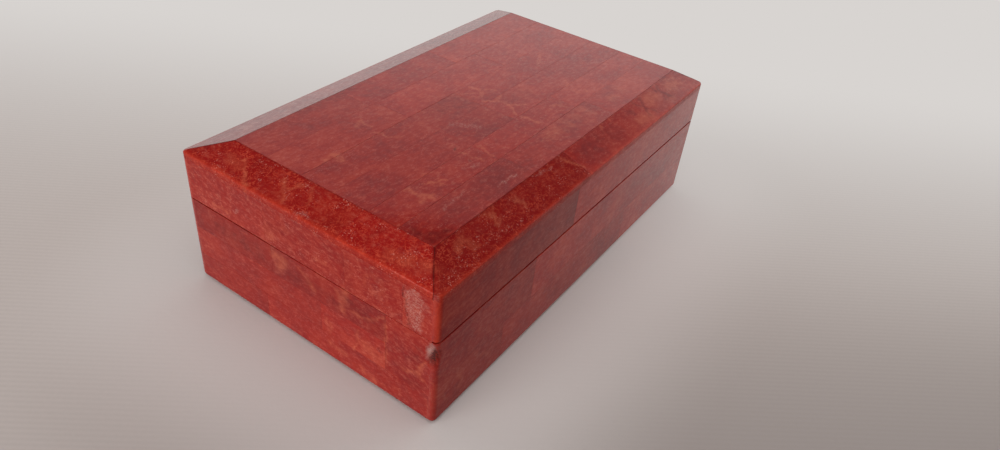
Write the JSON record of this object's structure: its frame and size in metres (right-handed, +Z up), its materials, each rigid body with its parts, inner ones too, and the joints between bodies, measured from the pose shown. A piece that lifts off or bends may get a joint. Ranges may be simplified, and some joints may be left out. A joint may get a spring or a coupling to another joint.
{
  "type": "jewellery box",
  "caption": "Rectangular jewellery box faced with polished red coral-stone tiles, with a bevelled, hinged lid and a velvet-lined inside for rings and trinkets.",
  "frame": {"origin": "centre of the felt underside that the case stands on", "axes": "+X along the length, +Y towards the hinged back, +Z up"},
  "size_m": [0.15, 0.0932, 0.0478],
  "materials": {
    "coral_stone": "polished and clear lacquered red coral stone with pale orange veins",
    "carcass_wood": "reddish brown stained hardwood, satin",
    "lining_velvet": "short-pile velvet, very dark wine red",
    "underside_felt": "pressed felt, near black",
    "hinge_brass": "solid brass, slightly tarnished"
  },
  "bodies": {
    "base": {"underside_felt": "underside_felt", "base_floor_board": "carcass_wood", "base_front_wall": "carcass_wood", "base_back_wall": "carcass_wood", "base_left_wall": "carcass_wood", "base_right_wall": "carcass_wood", "base_front_tiles": "coral_stone", "base_back_tiles": "coral_stone", "base_left_tiles": "coral_stone", "base_right_tiles": "coral_stone", "base_floor_pad": "lining_velvet", "base_front_lining": "lining_velvet", "base_back_lining": "lining_velvet", "base_left_lining": "lining_velvet", "base_right_lining": "lining_velvet", "left_hinge_base_leaf": "hinge_brass", "right_hinge_base_leaf": "hinge_brass", "left_hinge_pin": "hinge_brass", "right_hinge_pin": "hinge_brass", "base_hinge_screws": "hinge_brass"},
    "lid": {"lid_top_board": "carcass_wood", "lid_front_rail": "carcass_wood", "lid_back_rail": "carcass_wood", "lid_left_rail": "carcass_wood", "lid_right_rail": "carcass_wood", "lid_top_tiles": "coral_stone", "lid_front_bevel_tiles": "coral_stone", "lid_back_bevel_tiles": "coral_stone", "lid_left_bevel_tiles": "coral_stone", "lid_right_bevel_tiles": "coral_stone", "lid_front_tiles": "coral_stone", "lid_back_tiles": "coral_stone", "lid_left_tiles": "coral_stone", "lid_right_tiles": "coral_stone", "lid_pad": "lining_velvet", "lid_front_lining": "lining_velvet", "lid_back_lining": "lining_velvet", "lid_left_lining": "lining_velvet", "lid_right_lining": "lining_velvet", "left_hinge_lid_leaf": "hinge_brass", "right_hinge_lid_leaf": "hinge_brass", "lid_hinge_screws": "hinge_brass"}
  },
  "joints": [
    {"name": "lid_hinge", "type": "hinge", "parent": "base", "child": "lid", "pos_m": [0, 0.04585, 0.02955], "axis": [-1, 0, 0], "range_deg": [0, 95]}
  ]
}
